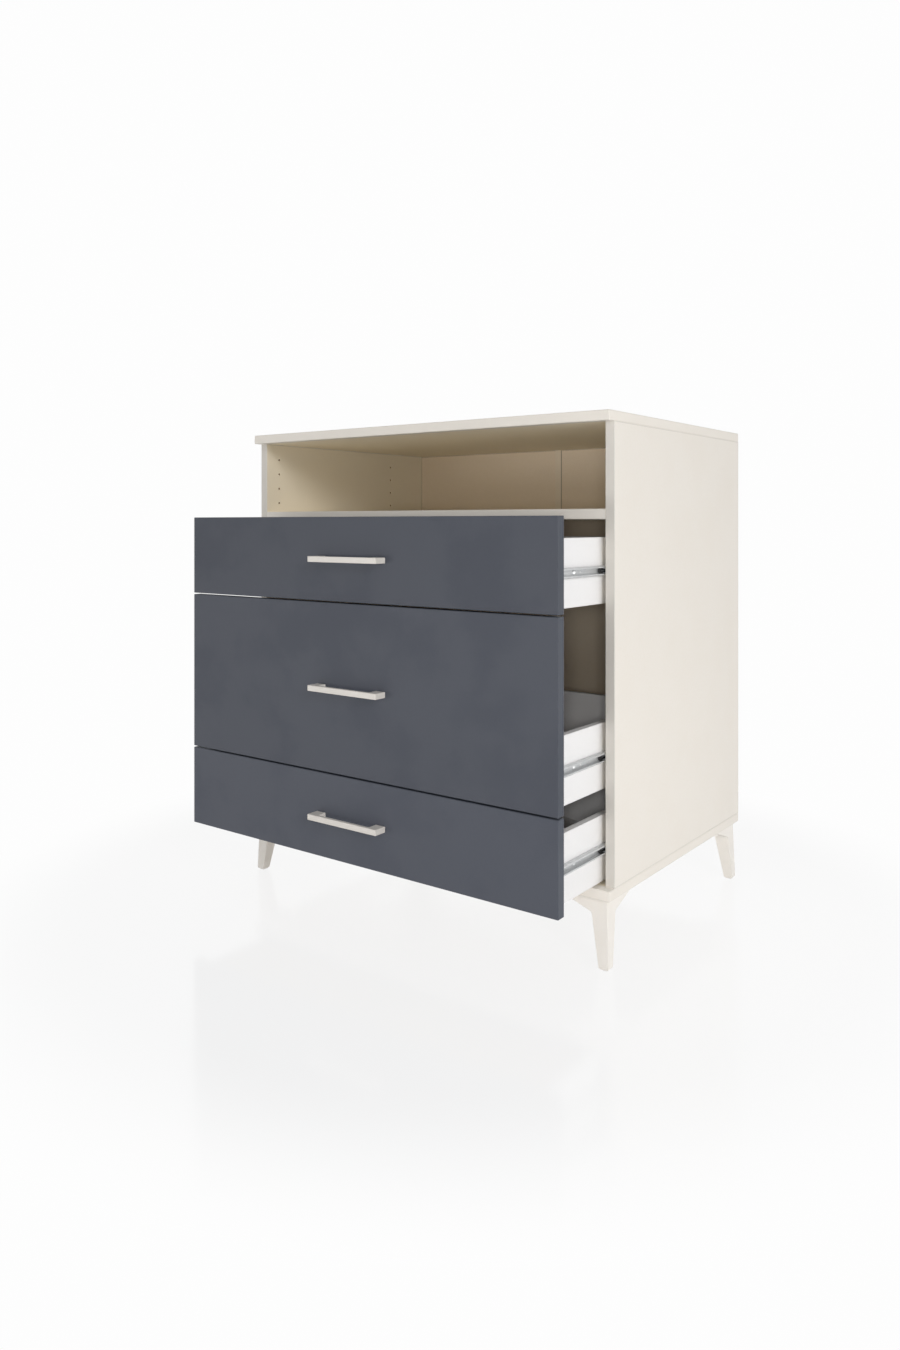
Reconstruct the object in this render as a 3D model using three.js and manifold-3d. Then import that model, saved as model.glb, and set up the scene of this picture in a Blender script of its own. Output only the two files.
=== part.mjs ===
import * as THREE from 'three';
import { mergeVertices } from 'three/addons/utils/BufferGeometryUtils.js';
import Module from 'manifold-3d';

// A free-standing commode chest: a board carcass on four moulded corner feet, with an open
// compartment above three drawers that run on ball-bearing runners.
// Millimetres. X runs to the right, Y to the back and Z up, and the feet stand at Z zero.
// The drawers are drawn part of the way out.

const wasm = await Module();
wasm.setup();

// Carcass boards
const chestWidth = 870;
const sideDepth = 565;
const boardThickness = 18;
const slabOverhang = 20;
const compartmentHeight = 149;
const edgeEase = 0.8;

// Back panels in their grooves, and the profile that joins them
const backThickness = 3;
const backInset = 14;
const backGrooveDepth = 6;
const grooveClearance = 0.3;
const stripWidth = 16;
const stripWall = 1;
const shelfBackGap = 3;

// Rows of holes for shelf pins
const pinHoleDiameter = 5;
const pinHoleDepth = 10;
const pinPitch = 32;
const pinSetback = 37;
const pinColumnSteps = 12;
const pinFirstRise = 20;
const pinTopMargin = 20;

// Drawer fronts, from the bottom of the stack upwards
const frontThickness = 18;
const smallFrontHeight = 155;
const deepFrontHeight = 312;
const frontGap = 3;
const frontFootGap = 4;
const frontSideReveal = 0.5;
const frontClosedGap = 2;
const shelfCover = 5;

// Drawer boxes
const boxBoard = 12;
const boxHeight = 114;
const lowerBoxLift = 1;
const middleBoxLift = 1;
const upperBoxLift = 5;
const boxBackDrop = 3;
const boxBottomThickness = 3;
const boxBottomRise = 6;
const boxGrooveDepth = 5;

// Travel of a drawer, and how far out it stands
const drawerTravel = 338;
const drawerOpening = 166;

// Ball-bearing runners
const runnerLength = 450;
const runnerHeight = 17;
const runnerDepth = 10;
const runnerSetback = 2;
const railSheet = 1;
const ballRadius = 1.5;
const ballPlay = 0.15;
const lipGap = 0.4;
const railCorner = 1.2;
const lipAngle = -20;
const tipAngle = 215;
const railScrewSetback = 74;
const railScrewPitch = 224;
const railSlotOffset = 23;
const railHoleDiameter = 4.4;
const cabinetScrewSetback = 35;

// Ball cages, which follow at half the drawer's speed
const cageLength = 212;
const cageWall = 0.9;
const cageGap = 0.35;
const cageFlangeReach = 1.2;
const cageNoseLength = 6;
const cageNoseHeight = 5;
const ballsInRow = 4;
const ballPitch = 40;
const ballSetback = 30;

// Bar handles
const handleLength = 165;
const handleHeight = 10.5;
const handleProjection = 26;
const handleBarDepth = 7;
const handlePostWidth = 21;
const handleFillet = 4;
const handleCorner = 1.2;
const handleEase = 0.7;

// Corner feet
const footHeight = 120;
const footInset = 5;
const footLean = 4;
const footTopWidth = 33;
const footTipWidth = 18;
const footFlangeDrop = 26;
const footFlangeReach = 100;
const footFlangeEdge = 3;
const footFlangeCut = 30;
const footTipEase = 3;
const footBlend = 4;
const footWall = 3;
const footFloor = 6;
const footScrewDiameter = 5;
const footScrewEdge = 15;
const footScrewReach = 74;

// Overrun of every cutting tool past the face that it opens
const overrun = 5;

// Facets of round features
const arcSteps = 5;
const holeSides = 12;
const ballRings = 6;

// Heights above the floor
const bodyBase = footHeight;
const sideBase = bodyBase + boardThickness;
const lowerFrontBase = sideBase + frontFootGap;
const middleFrontBase = lowerFrontBase + smallFrontHeight + frontGap;
const upperFrontBase = middleFrontBase + deepFrontHeight + frontGap;
const shelfBase = upperFrontBase + smallFrontHeight - shelfCover;
const shelfTop = shelfBase + boardThickness;
const sideTop = shelfTop + compartmentHeight;
const bodyTop = sideTop + boardThickness;

// Places across the width and along the depth
const outerFace = chestWidth / 2;
const innerFace = outerFace - boardThickness;
const boxOuter = innerFace - runnerDepth;
const boxInner = boxOuter - boxBoard;
const backRear = sideDepth - backInset;
const backFront = backRear - backThickness;
const frontMost = -drawerOpening - frontClosedGap - frontThickness - handleProjection;
const middleDepth = (sideDepth + frontMost) / 2;

// Colours of the finishes
const creamBoard = new THREE.MeshStandardMaterial({ color: 0xe4ddd3, roughness: 0.55 });
const backBoard = new THREE.MeshStandardMaterial({ color: 0xe0d8cc, roughness: 0.65 });
const slateFront = new THREE.MeshStandardMaterial({ color: 0x555b63, roughness: 0.5 });
const whiteBox = new THREE.MeshStandardMaterial({ color: 0xecebea, roughness: 0.6 });
const creamPlastic = new THREE.MeshStandardMaterial({ color: 0xe6dfd6, roughness: 0.45 });
const creamHandle = new THREE.MeshStandardMaterial({ color: 0xe4dcd4, roughness: 0.35 });
const zincSteel = new THREE.MeshStandardMaterial({ color: 0xb9bbb9, roughness: 0.35, metalness: 0.9 });
const blackPlastic = new THREE.MeshStandardMaterial({ color: 0x1b1b1a, roughness: 0.5 });

function shapeOf(points) {
  return new THREE.Shape(points.map(([across, up]) => new THREE.Vector2(across, up)));
}

function radians(degrees) {
  return (degrees * Math.PI) / 180;
}

// Points on an arc, from one angle to another, both in degrees.
function arcPoints([across, up], radius, fromAngle, toAngle) {
  const points = [];
  for (let step = 0; step <= arcSteps; step += 1) {
    const angle = radians(fromAngle + ((toAngle - fromAngle) * step) / arcSteps);
    points.push([across + radius * Math.cos(angle), up + radius * Math.sin(angle)]);
  }
  return points;
}

// A section drawn in X and Y, run along Z between two heights.
function alongZ(shape, from, to, ease = 0) {
  const geometry = new THREE.ExtrudeGeometry(shape, {
    depth: to - from - 2 * ease,
    curveSegments: arcSteps,
    bevelEnabled: ease > 0,
    bevelThickness: ease,
    bevelSize: ease,
    bevelOffset: -ease,
    bevelSegments: 1,
  });
  return geometry.translate(0, 0, from + ease);
}

// A section drawn in X and Z, run along Y between two depths.
function alongY(shape, from, to, ease = 0) {
  return alongZ(shape, -to, -from, ease).rotateX(Math.PI / 2);
}

// A section drawn in Y and Z, run along X between two places across the width.
function alongX(shape, from, to, ease = 0) {
  return alongZ(shape, from, to, ease).rotateZ(Math.PI / 2).rotateY(Math.PI / 2);
}

// The box between two limits on each axis, given in either order.
function block([x0, x1], [y0, y1], [z0, z1]) {
  const size = [Math.abs(x1 - x0), Math.abs(y1 - y0), Math.abs(z1 - z0)];
  const geometry = new THREE.BoxGeometry(...size);
  return geometry.translate((x0 + x1) / 2, (y0 + y1) / 2, (z0 + z1) / 2);
}

// A board with every arris eased, as an edge-banding machine leaves it.
function easedBoard([x0, x1], [y0, y1], [z0, z1]) {
  const outline = shapeOf([
    [x0 + edgeEase, y0],
    [x1 - edgeEase, y0],
    [x1, y0 + edgeEase],
    [x1, y1 - edgeEase],
    [x1 - edgeEase, y1],
    [x0 + edgeEase, y1],
    [x0, y1 - edgeEase],
    [x0, y0 + edgeEase],
  ]);
  return alongZ(outline, z0, z1, edgeEase);
}

// A board whose front arrises alone are eased, because its other edges meet other boards.
function frontEasedOutline([low, high], [front, rear]) {
  return shapeOf([
    [low + edgeEase, front],
    [high - edgeEase, front],
    [high, front + edgeEase],
    [high, rear],
    [low, rear],
    [low, front + edgeEase],
  ]);
}

function cylinder(radius, from, to, axis) {
  const length = to[axis] - from[axis];
  const geometry = new THREE.CylinderGeometry(radius, radius, Math.abs(length), holeSides);
  if (axis === 'x') geometry.rotateZ(Math.PI / 2);
  if (axis === 'z') geometry.rotateX(Math.PI / 2);
  const middle = new THREE.Vector3().addVectors(from, to).multiplyScalar(1 / 2);
  return geometry.translate(middle.x, middle.y, middle.z);
}

function solidOf(geometry) {
  const bare = geometry.index ? geometry.toNonIndexed() : geometry.clone();
  bare.deleteAttribute('normal');
  bare.deleteAttribute('uv');
  const merged = mergeVertices(bare);
  return new wasm.Manifold(new wasm.Mesh({
    numProp: 3,
    vertProperties: new Float32Array(merged.attributes.position.array),
    triVerts: new Uint32Array(merged.index.array),
  }));
}

function geometryOf(solid) {
  const { vertProperties, triVerts } = solid.getMesh();
  const geometry = new THREE.BufferGeometry();
  geometry.setAttribute('position', new THREE.BufferAttribute(vertProperties, 3));
  geometry.setIndex(new THREE.BufferAttribute(triVerts, 1));
  return geometry.toNonIndexed();
}

function cut(geometry, ...tools) {
  let solid = solidOf(geometry);
  for (const tool of tools) solid = solid.subtract(solidOf(tool));
  return geometryOf(solid);
}

function join(geometry, ...others) {
  let solid = solidOf(geometry);
  for (const other of others) solid = solid.add(solidOf(other));
  return geometryOf(solid);
}

function common(geometry, other) {
  return geometryOf(solidOf(geometry).intersect(solidOf(other)));
}

function piece(name, geometry, material) {
  geometry.computeVertexNormals();
  const mesh = new THREE.Mesh(geometry, material);
  mesh.name = name;
  return mesh;
}

// Carcass

// The groove that holds the back panels, as long as the board that it is cut into.
function backGroove(acrossLimits, heightLimits) {
  const depthLimits = [backFront - grooveClearance, backRear + grooveClearance];
  return block(acrossLimits, depthLimits, heightLimits);
}

function slabPanel(name, [base, top], grooveFace, grooveDirection) {
  const grooveEnd = innerFace + backGrooveDepth + grooveClearance;
  const grooveFloor = grooveFace + grooveDirection * (backGrooveDepth + grooveClearance);
  const grooveMouth = grooveFace - grooveDirection * overrun;
  const slab = easedBoard([-outerFace, outerFace], [-slabOverhang, sideDepth], [base, top]);
  const groove = backGroove([-grooveEnd, grooveEnd], [grooveFloor, grooveMouth]);
  return piece(name, cut(slab, groove), creamBoard);
}

// Heights of the shelf-pin holes, one pitch apart, as far up as the compartment lets them go.
function pinHeights() {
  const span = compartmentHeight - pinFirstRise - pinTopMargin;
  const count = Math.floor(span / pinPitch) + 1;
  return Array.from({ length: count }, (_, step) => shelfTop + pinFirstRise + step * pinPitch);
}

function sidePanel(name, hand) {
  const limits = [hand * innerFace, hand * outerFace].sort((low, high) => low - high);
  const outline = frontEasedOutline(limits, [0, sideDepth]);
  const mouth = hand * (innerFace - overrun);
  const grooveFloor = hand * (innerFace + backGrooveDepth + grooveClearance);
  const tools = [backGroove([mouth, grooveFloor], [sideBase - overrun, sideTop + overrun])];
  for (const depth of [pinSetback, pinSetback + pinColumnSteps * pinPitch]) {
    for (const height of pinHeights()) {
      const from = new THREE.Vector3(mouth, depth, height);
      const to = new THREE.Vector3(hand * (innerFace + pinHoleDepth), depth, height);
      tools.push(cylinder(pinHoleDiameter / 2, from, to, 'x'));
    }
  }
  return piece(name, cut(alongZ(outline, sideBase, sideTop), ...tools), creamBoard);
}

function fixedShelf() {
  const outline = shapeOf([
    [0, shelfBase + edgeEase],
    [edgeEase, shelfBase],
    [backFront - shelfBackGap, shelfBase],
    [backFront - shelfBackGap, shelfTop],
    [edgeEase, shelfTop],
    [0, shelfTop - edgeEase],
  ]);
  return piece('fixed_shelf', alongX(outline, -innerFace, innerFace), creamBoard);
}

function backPanel(name, hand) {
  const inner = hand * (stripWall / 2 + grooveClearance);
  const outer = hand * (innerFace + backGrooveDepth);
  const heights = [sideBase - backGrooveDepth, sideTop + backGrooveDepth];
  return piece(name, block([inner, outer], [backFront, backRear], heights), backBoard);
}

// The H-section that holds the two back panels edge to edge.
function backJointStrip() {
  const flange = stripWidth / 2;
  const web = stripWall / 2;
  const front = backFront - grooveClearance;
  const rear = backRear + grooveClearance;
  const outline = shapeOf([
    [-flange, front - stripWall],
    [flange, front - stripWall],
    [flange, front],
    [web, front],
    [web, rear],
    [flange, rear],
    [flange, rear + stripWall],
    [-flange, rear + stripWall],
    [-flange, rear],
    [-web, rear],
    [-web, front],
    [-flange, front],
  ]);
  const geometry = alongZ(outline, sideBase + grooveClearance, sideTop - grooveClearance);
  return piece('back_joint_strip', geometry, creamPlastic);
}

// Feet

// One side of a foot: a leg that leans outwards and tapers on its inner side, and a flange that
// thins to its end.
// Distances run inwards from the outer corner, and heights down from the bottom panel.
function footOutline(place) {
  const tipRise = footTipEase - footHeight;
  const taper = new THREE.Vector2(footTipWidth - footTopWidth, tipRise + footFlangeDrop);
  const rise = footFlangeDrop - footFlangeEdge;
  const flange = new THREE.Vector2(footFlangeReach - footTopWidth, rise);
  const corner = new THREE.Vector2(footTopWidth, -footFlangeDrop);
  const onLeg = corner.clone().addScaledVector(taper, footBlend / taper.length());
  const onFlange = corner.clone().addScaledVector(flange, footBlend / flange.length());
  const blend = new THREE.QuadraticBezierCurve(onLeg, corner, onFlange).getPoints(arcSteps);
  const points = [
    [footLean, 0],
    [0, tipRise],
    [footTipEase, -footHeight],
    [footTipWidth - footTipEase, -footHeight],
    [footTipWidth, tipRise],
    ...blend.map((point) => [point.x, point.y]),
    [footFlangeReach, -footFlangeEdge],
    [footFlangeReach, 0],
  ];
  return shapeOf(points.map(([inwards, height]) => [place(inwards), bodyBase + height]));
}

// The hollow inside the leg, one wall thickness within it and open at the top.
function hollowOutline(place) {
  const mouth = footTopWidth - footWall;
  const floor = footFloor - footHeight;
  const floorWidth = footTipWidth - footWall;
  const points = [
    [footWall + footLean, overrun],
    [footWall + footLean, 0],
    [footWall, floor],
    [floorWidth, floor],
    [mouth, -footFlangeDrop],
    [mouth, overrun],
  ];
  return shapeOf(points.map(([inwards, height]) => [place(inwards), bodyBase + height]));
}

function cornerFoot(name, hand, cornerDepth, inwards) {
  const across = (distance) => hand * (outerFace - footInset - distance);
  const along = (distance) => cornerDepth + inwards * distance;
  const depths = [along(0), along(footFlangeReach)].sort((low, high) => low - high);
  const widths = [across(0), across(footFlangeReach)].sort((low, high) => low - high);
  const seenFromFront = alongY(footOutline(across), ...depths);
  const seenFromSide = alongX(footOutline(along), ...widths);
  const hollow = common(
    alongY(hollowOutline(across), ...depths),
    alongX(hollowOutline(along), ...widths),
  );
  const beyond = footFlangeReach + overrun;
  const diagonal = shapeOf([
    [across(footFlangeCut - overrun), along(beyond)],
    [across(beyond), along(footFlangeCut - overrun)],
    [across(beyond), along(beyond)],
  ]);
  const heights = [bodyBase - footHeight, bodyBase + overrun];
  const screwPlaces = [[footScrewReach, footScrewEdge], [footScrewEdge, footScrewReach]];
  const screwHoles = screwPlaces.map(([x, y]) => cylinder(
    footScrewDiameter / 2,
    new THREE.Vector3(across(x), along(y), heights[0]),
    new THREE.Vector3(across(x), along(y), heights[1]),
    'z',
  ));
  const foot = common(seenFromFront, seenFromSide);
  const geometry = cut(foot, hollow, alongZ(diagonal, ...heights), ...screwHoles);
  return piece(name, geometry, creamPlastic);
}

// Runners
// A section is drawn across the gap: zero is the drawer box's side, and the far limit is the
// carcass. The upper half is drawn, then mirrored below the middle line.

const raceRadius = ballRadius + ballPlay;
const ballAcross = runnerDepth - railSheet - lipGap - raceRadius - railSheet;
const ballUp = runnerHeight / 2 - railSheet - raceRadius;
const ballCentre = [ballAcross, ballUp];

function mirroredSection(upperHalf, hand, middleHeight) {
  const lowerHalf = upperHalf.map(([across, up]) => [across, -up]).reverse();
  const place = ([across, up]) => [hand * (boxOuter + across), middleHeight + up];
  return shapeOf([...upperHalf, ...lowerHalf].map(place));
}

// The drawer's rail: a channel whose lips curl round the balls.
function drawerRailSection() {
  const halfHeight = runnerHeight / 2;
  return [
    ...arcPoints([railCorner, halfHeight - railCorner], railCorner, 180, 90),
    ...arcPoints(ballCentre, raceRadius + railSheet, 90, lipAngle),
    ...arcPoints(ballCentre, raceRadius, lipAngle, 90),
    [railSheet, halfHeight - railSheet],
  ];
}

// The carcass's rail: a smaller channel with a groove for the balls along each flange.
function cabinetRailSection() {
  const flangeUp = ballUp - raceRadius;
  return [
    [runnerDepth - railSheet, flangeUp - railSheet],
    ...arcPoints(ballCentre, raceRadius + railSheet, 270, tipAngle),
    ...arcPoints(ballCentre, raceRadius, tipAngle, 270),
    [runnerDepth, flangeUp],
  ];
}

// The cage's web passes between the rails, and its flanges hold the balls.
function cageSection() {
  const tipReach = (raceRadius + railSheet) * Math.cos(radians(tipAngle));
  const webFar = ballAcross + tipReach - cageGap;
  const webNear = webFar - cageWall;
  const flangeTop = ballUp + cageWall / 2;
  const flangeEnd = ballAcross + cageFlangeReach;
  return [
    [webNear, flangeTop],
    [flangeEnd, flangeTop],
    [flangeEnd, flangeTop - cageWall],
    [webFar, flangeTop - cageWall],
  ];
}

function railHoles(hand, webAcross, depths, middleHeight) {
  return depths.map((depth) => cylinder(
    railHoleDiameter / 2,
    new THREE.Vector3(hand * (boxOuter + webAcross - railSheet), depth, middleHeight),
    new THREE.Vector3(hand * (boxOuter + webAcross + 2 * railSheet), depth, middleHeight),
    'x',
  ));
}

function drawerRail(name, hand, front, middleHeight) {
  const section = mirroredSection(drawerRailSection(), hand, middleHeight);
  const screws = [railScrewSetback, railScrewSetback + railScrewPitch];
  const depths = screws.flatMap((depth) => [depth, depth + railSlotOffset]);
  const holes = railHoles(hand, 0, depths.map((depth) => front + depth), middleHeight);
  return piece(name, cut(alongY(section, front, front + runnerLength), ...holes), zincSteel);
}

function cabinetRail(name, hand, front, middleHeight) {
  const section = mirroredSection(cabinetRailSection(), hand, middleHeight);
  const depths = [0, 1].map((step) => front + cabinetScrewSetback + step * railScrewPitch);
  const holes = railHoles(hand, runnerDepth - railSheet, depths, middleHeight);
  return piece(name, cut(alongY(section, front, front + runnerLength), ...holes), zincSteel);
}

// The cage keeps its balls evenly spaced in two rows, and its ends are drawn in to a nose.
function ballCage(name, hand, front, middleHeight) {
  const rear = front + cageLength;
  const section = mirroredSection(cageSection(), hand, middleHeight);
  const full = runnerHeight / 2;
  const side = [
    [front, cageNoseHeight / 2],
    [front + cageNoseLength, full],
    [rear - cageNoseLength, full],
    [rear, cageNoseHeight / 2],
  ];
  const mirrored = side.map(([depth, up]) => [depth, -up]).reverse();
  const outline = [...side, ...mirrored].map(([depth, up]) => [depth, middleHeight + up]);
  const widths = [hand * boxOuter, hand * innerFace].sort((low, high) => low - high);
  const strip = common(alongY(section, front, rear), alongX(shapeOf(outline), ...widths));
  const balls = [];
  for (const level of [-1, 1]) {
    for (let step = 0; step < ballsInRow; step += 1) {
      const ball = new THREE.SphereGeometry(ballRadius, ballRings + 2, ballRings);
      const depth = front + ballSetback + step * ballPitch;
      ball.translate(hand * (boxOuter + ballAcross), depth, middleHeight + level * ballUp);
      balls.push(ball);
    }
  }
  return piece(name, join(strip, ...balls), blackPlastic);
}

// Drawers
// A drawer's own origin lies under the middle of its box, at the rear face of its front.

function bottomGroove(acrossLimits, depthLimits, boxBase) {
  const base = boxBase + boxBottomRise - grooveClearance;
  const top = boxBase + boxBottomRise + boxBottomThickness + grooveClearance;
  return block(acrossLimits, depthLimits, [base, top]);
}

function drawerFront(name, base, height, boxBase) {
  const halfWidth = outerFace - frontSideReveal;
  const board = easedBoard([-halfWidth, halfWidth], [-frontThickness, 0], [base, base + height]);
  const grooveEnd = boxInner + boxGrooveDepth + grooveClearance;
  const depths = [-boxGrooveDepth - grooveClearance, overrun];
  return piece(name, cut(board, bottomGroove([-grooveEnd, grooveEnd], depths, boxBase)), slateFront);
}

// A bar handle cast in one piece with its two posts, which spread where they meet the bar.
function barHandle(name, middleHeight) {
  const half = handleLength / 2;
  const post = half - handlePostWidth;
  const far = -handleProjection;
  const near = far + handleBarDepth;
  const outline = new THREE.Shape();
  outline.moveTo(half, 0);
  outline.lineTo(post, 0);
  outline.lineTo(post, near + handleFillet);
  outline.quadraticCurveTo(post, near, post - handleFillet, near);
  outline.lineTo(handleFillet - post, near);
  outline.quadraticCurveTo(-post, near, -post, near + handleFillet);
  outline.lineTo(-post, 0);
  outline.lineTo(-half, 0);
  outline.lineTo(-half, far + handleCorner);
  outline.quadraticCurveTo(-half, far, handleCorner - half, far);
  outline.lineTo(half - handleCorner, far);
  outline.quadraticCurveTo(half, far, half, far + handleCorner);
  const base = middleHeight - handleHeight / 2;
  const geometry = alongZ(outline, base, base + handleHeight, handleEase);
  return piece(name, geometry.translate(0, -frontThickness, 0), creamHandle);
}

function boxSide(name, hand, boxBase) {
  const widths = [hand * boxInner, hand * boxOuter];
  const board = block(widths, [0, runnerLength], [boxBase, boxBase + boxHeight]);
  const grooveWidths = [
    hand * (boxInner - overrun),
    hand * (boxInner + boxGrooveDepth + grooveClearance),
  ];
  const groove = bottomGroove(grooveWidths, [-overrun, runnerLength + overrun], boxBase);
  return piece(name, cut(board, groove), whiteBox);
}

function boxBack(name, boxBase) {
  const base = boxBase + boxBottomRise + boxBottomThickness;
  const heights = [base, boxBase + boxHeight - boxBackDrop];
  const depths = [runnerLength - boxBoard, runnerLength];
  return piece(name, block([-boxInner, boxInner], depths, heights), whiteBox);
}

function boxBottom(name, boxBase) {
  const halfWidth = boxInner + boxGrooveDepth;
  const base = boxBase + boxBottomRise;
  const depths = [-boxGrooveDepth, runnerLength];
  const heights = [base, base + boxBottomThickness];
  return piece(name, block([-halfWidth, halfWidth], depths, heights), whiteBox);
}

function drawer(level, { frontBase, frontHeight, boxLift }) {
  const group = new THREE.Group();
  const boxBase = frontBase + boxLift;
  const middle = boxBase + boxHeight / 2;
  group.add(drawerFront(`${level}_drawer_front`, frontBase, frontHeight, boxBase));
  group.add(barHandle(`${level}_drawer_handle`, frontBase + frontHeight / 2));
  group.add(boxBack(`${level}_drawer_back`, boxBase));
  group.add(boxBottom(`${level}_drawer_bottom`, boxBase));
  for (const [word, hand] of [['left', -1], ['right', 1]]) {
    group.add(boxSide(`${level}_drawer_side_${word}`, hand, boxBase));
    group.add(drawerRail(`${level}_drawer_rail_${word}`, hand, runnerSetback, middle));
  }
  group.position.y = -frontClosedGap - drawerOpening;
  return group;
}

// The rails on the carcass, and the cages that roll along them.
function cabinetRunners(level, { frontBase, boxLift }) {
  const group = new THREE.Group();
  const middle = frontBase + boxLift + boxHeight / 2;
  const closedRear = runnerSetback + runnerLength - drawerTravel / 2;
  const cageFront = closedRear - cageLength - drawerOpening / 2;
  for (const [word, hand] of [['left', -1], ['right', 1]]) {
    group.add(cabinetRail(`${level}_cabinet_rail_${word}`, hand, runnerSetback, middle));
    group.add(ballCage(`${level}_ball_cage_${word}`, hand, cageFront, middle));
  }
  return group;
}

const drawers = {
  upper: {
    frontBase: upperFrontBase, frontHeight: smallFrontHeight, boxLift: upperBoxLift,
  },
  middle: {
    frontBase: middleFrontBase, frontHeight: deepFrontHeight, boxLift: middleBoxLift,
  },
  lower: {
    frontBase: lowerFrontBase, frontHeight: smallFrontHeight, boxLift: lowerBoxLift,
  },
};

const chest = new THREE.Group();
chest.add(slabPanel('top_panel', [sideTop, bodyTop], sideTop, 1));
chest.add(slabPanel('bottom_panel', [bodyBase, sideBase], sideBase, -1));
chest.add(sidePanel('left_side_panel', -1));
chest.add(sidePanel('right_side_panel', 1));
chest.add(fixedShelf());
chest.add(backPanel('back_panel_left', -1));
chest.add(backPanel('back_panel_right', 1));
chest.add(backJointStrip());
for (const [word, hand] of [['left', -1], ['right', 1]]) {
  chest.add(cornerFoot(`front_foot_${word}`, hand, footInset - slabOverhang, 1));
  chest.add(cornerFoot(`back_foot_${word}`, hand, sideDepth - footInset, -1));
}
for (const [level, sizes] of Object.entries(drawers)) {
  chest.add(drawer(level, sizes));
  chest.add(cabinetRunners(level, sizes));
}
chest.position.y = -middleDepth;

const model = new THREE.Group();
model.add(chest);

export default model;
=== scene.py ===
import math

import bmesh
import bpy
from mathutils import Euler, Matrix, Vector


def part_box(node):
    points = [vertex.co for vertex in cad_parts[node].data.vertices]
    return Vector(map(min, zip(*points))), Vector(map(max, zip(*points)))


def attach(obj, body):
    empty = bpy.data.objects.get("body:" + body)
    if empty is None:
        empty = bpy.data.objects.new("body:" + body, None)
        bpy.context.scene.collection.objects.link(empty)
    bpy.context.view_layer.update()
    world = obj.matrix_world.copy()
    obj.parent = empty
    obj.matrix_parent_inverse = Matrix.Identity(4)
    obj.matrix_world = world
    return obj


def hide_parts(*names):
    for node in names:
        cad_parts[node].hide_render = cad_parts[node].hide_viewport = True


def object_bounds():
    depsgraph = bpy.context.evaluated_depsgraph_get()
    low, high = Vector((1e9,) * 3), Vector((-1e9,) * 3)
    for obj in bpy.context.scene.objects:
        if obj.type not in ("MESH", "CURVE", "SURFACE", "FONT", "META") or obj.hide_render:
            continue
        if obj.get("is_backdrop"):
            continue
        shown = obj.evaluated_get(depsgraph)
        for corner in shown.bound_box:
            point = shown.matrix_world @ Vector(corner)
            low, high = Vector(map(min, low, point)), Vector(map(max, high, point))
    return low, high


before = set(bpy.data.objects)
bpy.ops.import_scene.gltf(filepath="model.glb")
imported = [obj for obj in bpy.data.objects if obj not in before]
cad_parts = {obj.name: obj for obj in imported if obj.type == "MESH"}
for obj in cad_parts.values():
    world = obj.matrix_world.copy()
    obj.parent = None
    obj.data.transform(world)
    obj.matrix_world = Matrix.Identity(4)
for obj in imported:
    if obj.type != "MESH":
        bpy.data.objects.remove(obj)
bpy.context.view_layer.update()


# Carcass boards: the top and bottom slabs, the two sides and the fixed shelf.
# 18 mm particleboard with a satin cream melamine skin and 0.8 mm edge banding,
# held by dowels and screws that don't show. The CAD solids stay and get the finish.
SKIN = 0.0006                   # the pressed melamine, in metres like every length below
BAND = 0.0008                   # the edge banding
CREAM = (0.850, 0.804, 0.735, 1)
CREAM_SHADE = (0.840, 0.790, 0.716, 1)
CREAM_BAND = (0.850, 0.802, 0.730, 1)
# The side panels' front edges are painted darker than the other banding: painted shade for the
# shade beneath the top's overhang and beside the drawers.
UPRIGHT_BAND_PAINTED_SHADE = (0.694, 0.659, 0.604, 1)
# The next two are painted light: lighter, warmer copies of the cream for the faces inside the
# chest and for the underside of the top, standing in for the warm light that bounces round in
# there.
CREAM_INSIDE_PAINTED_LIGHT = (0.885, 0.800, 0.640, 1)
CEILING_PAINTED_LIGHT = (0.970, 0.885, 0.710, 1)
SATIN = (0.44, 0.52)            # roughness, from clean to handled
INSIDE_FACES = {"top_panel": (2, "low"), "bottom_panel": (2, "high"),
                "left_side_panel": (0, "high"), "right_side_panel": (0, "low"),
                "fixed_shelf": (1, "behind the front")}
SHELF_FRONT = 0.0012            # the shelf's front edge keeps the outer cream
LEDGE = 0.020                   # and so does a slab in front of the compartment
MELAMINE_IOR = 1.46
MELAMINE_RELIEF = 0.00003
PEARL, FILM = 900.0, 7.0        # patterns are in cycles per metre
SPECKLE_SHARE = 0.22            # the speckle's pitch, as a share of the pearl's
PEARL_WAVES, SPECKLE_WAVES, FILM_WAVES = (2.0, 0.5), (4.0, 0.6), (4.0, 0.6)   # detail, rough
MELAMINE_TONE, MELAMINE_HEIGHT = (0.6, 0.4), (0.7, 0.3)   # shares of the patterns in each
TONE_SPAN, SMUDGE_SPAN = (0.38, 0.62), (0.42, 0.66)   # where most of the pattern's values lie
SEAM_PLACE = 1.35               # where the banding's glue shows, in thicknesses of the band
SEAM_FADE = (0.00005, 0.0003)
SEAM_SHARE, SEAM_TONE = 0.34, 0.45   # how strong the glue shows, and its tone of the face
SEAM_DEPTH = 1.6                # in reliefs of the melamine
EDGE_SHARE = 0.8                # how strong the banding's colour shows round an arris
ARRIS_FADE = (0.0001, 0.0011)
WEAR_HIGHLIGHT_SPAN, WEAR_HIGHLIGHT = (0.2, 0.9), (0.05, 0.3)   # how much of an arris is worn and lit with a painted highlight
WORN_HIGHLIGHT_GAIN, WORN_HIGHLIGHT_LIFT = 1.12, 0.01
CHIP_PALE = (0.56, 0.40, 0.24, 1)
CHIP_DARK = (0.20, 0.12, 0.065, 1)
CHIPS, CRUMBS = 520.0, 1400.0
CHIP_ROUGH = 0.42               # on top of the melamine's roughness
CHIP_DEPTH = 6.0                # in reliefs of the melamine


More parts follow.
